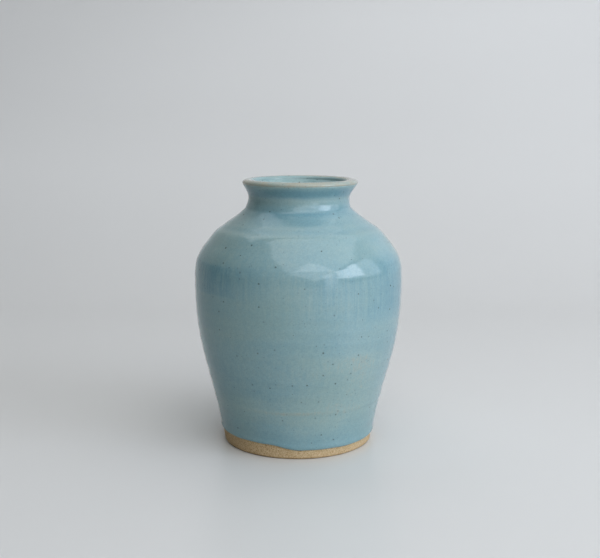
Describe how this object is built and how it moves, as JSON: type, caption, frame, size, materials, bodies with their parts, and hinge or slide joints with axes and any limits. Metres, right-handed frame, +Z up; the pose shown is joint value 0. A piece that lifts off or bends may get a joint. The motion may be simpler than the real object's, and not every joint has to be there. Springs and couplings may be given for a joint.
{
  "type": "bud vase",
  "caption": "Small thrown stoneware bud vase with a round shoulder, waisted neck, flared lip, blue-green glaze inside and out and a bare clay foot; it holds water and a few stems.",
  "frame": {"origin": "on the vase's axis, in the plane of the foot ring that it stands on", "axes": "+Z up along the vase's turning axis, out of its mouth; -Y is the front, the side whose glaze line rises to the left; +X is to the right seen from the front"},
  "size_m": [0.0848, 0.0848, 0.108],
  "materials": {
    "clay": "bare buff stoneware, matt and fine-grained",
    "outer_glaze": "glossy blue-green celadon with dark iron specks",
    "liner_glaze": "glossy pale celadon, thin and buff over the lip"
  },
  "bodies": {
    "root": {"stoneware_body": "clay", "outer_glaze": "outer_glaze", "liner_glaze": "liner_glaze"}
  },
  "joints": []
}
